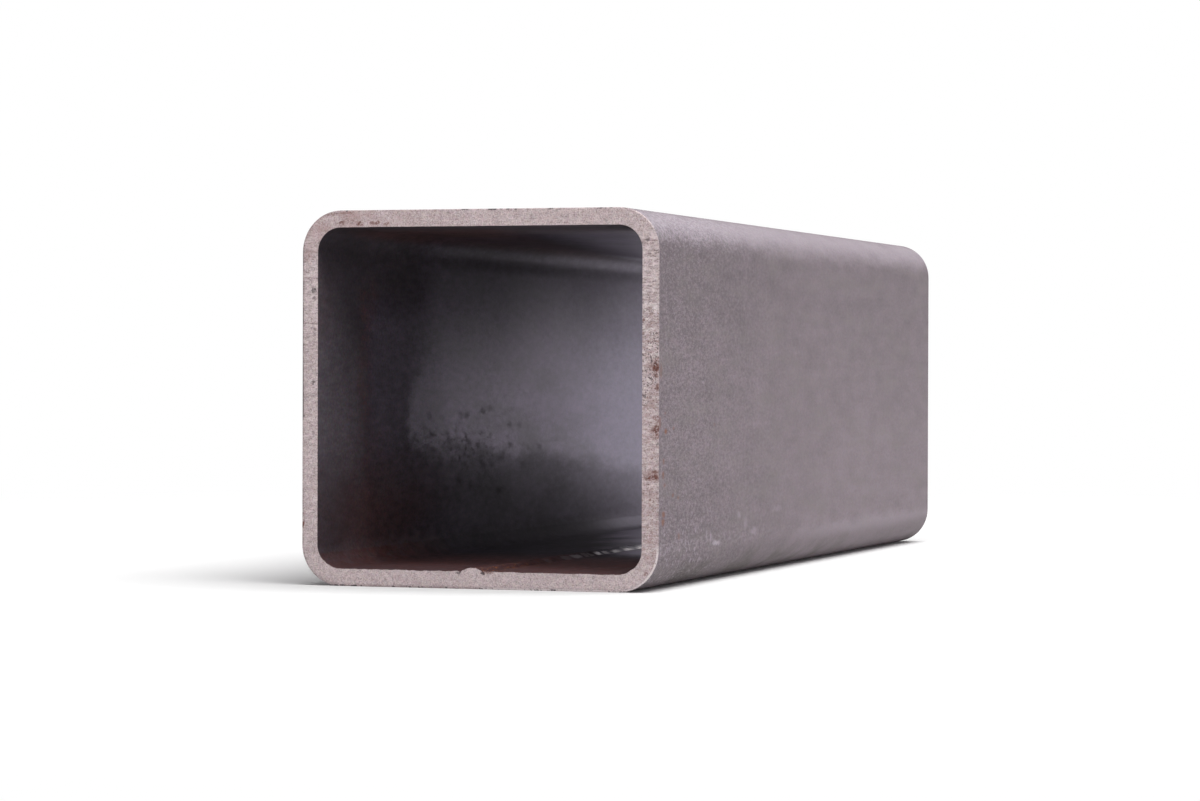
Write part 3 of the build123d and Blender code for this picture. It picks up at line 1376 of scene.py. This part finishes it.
    def give_finishes(self, mesh: bmesh.types.BMesh) -> None:
        """Gives each face its finish, with sharp edges between two finishes.

        Args:
            mesh: The tube's mesh.
        """
        end_depth = 0.5 * MM
        for face in mesh.faces:
            face.smooth = True
            middle = face.calc_center_median()
            if abs(face.normal.y) > 0.7 and abs(abs(middle.y) - self.half_length) < end_depth:
                face.material_index = Finish.SAWN.value
            elif self.depth(middle) > self.wall / 2:
                face.material_index = Finish.BORE.value
        for edge in mesh.edges:
            edge.smooth = len({face.material_index for face in edge.link_faces}) == 1

    def build(self) -> bpy.types.Object:
        """Builds and dresses the tube.

        Returns:
            The tube as an object at the origin.
        """
        mesh = bmesh.new()
        for step in (self.draw_section, self.cut_seam_columns, self.extrude, self.cut_rows,
                     self.cut_end_columns, self.shape_ends, self.raise_seam):
            step(mesh)
        bmesh.ops.recalc_face_normals(mesh, faces=mesh.faces[:])
        self.give_finishes(mesh)
        data = bpy.data.meshes.new("square_tube_metal")
        mesh.to_mesh(data)
        mesh.free()
        for finish in Finish:
            data.materials.append(FINISHES[finish].material())
        piece = bpy.data.objects.new("square_tube_metal", data)
        bpy.context.scene.collection.objects.link(piece)
        return piece


# ---- The studio


@dataclass(frozen=True)
class Lamp:
    """A soft square lamp that points at a place on the tube."""

    name: str
    place: Triple
    size: float
    power: float
    aim: Triple = (0.0, 0.0, 0.05)

    def build(self) -> None:
        """Adds the lamp to the scene."""
        data = bpy.data.lights.new(self.name, "AREA")
        data.shape = "SQUARE"
        data.size = self.size
        data.energy = self.power
        lamp = bpy.data.objects.new(self.name, data)
        lamp.location = self.place
        lamp.rotation_euler = (Vector(self.aim) - Vector(self.place)).to_track_quat("-Z", "Y").to_euler()
        bpy.context.scene.collection.objects.link(lamp)


@dataclass(frozen=True)
class Studio:
    """The pale floor, the soft lamps, the even surroundings and the camera."""

    surround: float = 0.25
    lamps: tuple[Lamp, ...] = (
        Lamp("top_lamp", (1.0, -0.2, 3.0), 2.6, 108.0),
        Lamp("front_lamp", (-1.2, -3.2, 0.4), 2.0, 21.0),
        Lamp("side_lamp", (2.6, 1.4, 0.3), 1.6, 9.0),
    )
    floor_size: float = 30.0
    paper: Colour = (0.7, 0.7, 0.7)
    glow_start: float = 260.0
    glow_full: float = 620.0
    camera_place: Triple = (0.33094, -1.03202, 0.05808)
    camera_turn: Triple = (90.0 - 0.509, -0.170, 18.608)
    lens: float = 107.47
    sensor: float = 36.0

    def build_world(self) -> None:
        """Makes the surroundings: white where they are seen or reflected, and dimmer as a light."""
        world = bpy.data.worlds.new("surround")
        bpy.context.scene.world = world
        world.use_nodes = True
        graph = Graph(world.node_tree)
        dim, white = (graph.wired("ShaderNodeBackground", {"Color": WHITE, "Strength": strength})
                      for strength in (self.surround, 1.0))
        seen = graph.rays("Camera", "Glossy", "Transmission")
        graph.end(graph.mix_shaders(seen, dim, white), "ShaderNodeOutputWorld")

    def build_floor(self) -> bpy.types.Object:
        """Makes the floor: white paper that keeps the tube's shadow and glows white further off.

        Returns:
            The floor.
        """
        mesh = bmesh.new()
        bmesh.ops.create_grid(mesh, x_segments=1, y_segments=1, size=self.floor_size)
        data = bpy.data.meshes.new("studio_floor")
        mesh.to_mesh(data)
        mesh.free()
        made, graph = new_material("studio_paper")
        seen = graph.rays("Camera", "Glossy")
        away = graph.length(graph.place).ramp(self.glow_start, self.glow_full)
        paper = graph.wired("ShaderNodeBsdfDiffuse", {"Color": graph.mix(seen, self.paper, WHITE)})
        glow = graph.wired("ShaderNodeEmission", {"Color": WHITE})
        graph.end(graph.mix_shaders(away * seen, paper, glow))
        data.materials.append(made)
        floor = bpy.data.objects.new("studio_floor", data)
        bpy.context.scene.collection.objects.link(floor)
        return floor

    def build_camera(self) -> None:
        """Sets up the camera, level and to the right of the tube's front end."""
        data = bpy.data.cameras.new("camera")
        data.sensor_width = self.sensor
        data.lens = self.lens
        camera = bpy.data.objects.new("camera", data)
        camera.location = self.camera_place
        camera.rotation_euler = tuple(math.radians(angle) for angle in self.camera_turn)
        bpy.context.scene.collection.objects.link(camera)
        bpy.context.scene.camera = camera

    def build(self) -> None:
        """Builds the surroundings, the floor, the lamps and the camera."""
        self.build_world()
        self.build_floor()
        for lamp in self.lamps:
            lamp.build()
        self.build_camera()
        bpy.context.scene.view_settings.view_transform = "Standard"


def main() -> None:
    """Builds the tube, then the studio."""
    logging.basicConfig(level=logging.INFO, format="%(name)s: %(message)s")
    low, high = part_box(NODE)
    tube = SquareTube(low, high).build()
    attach(tube, "root")
    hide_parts(NODE)
    log.info("%s: %d faces", tube.name, len(tube.data.polygons))
    Studio().build()


if __name__ == "__main__":
    main()
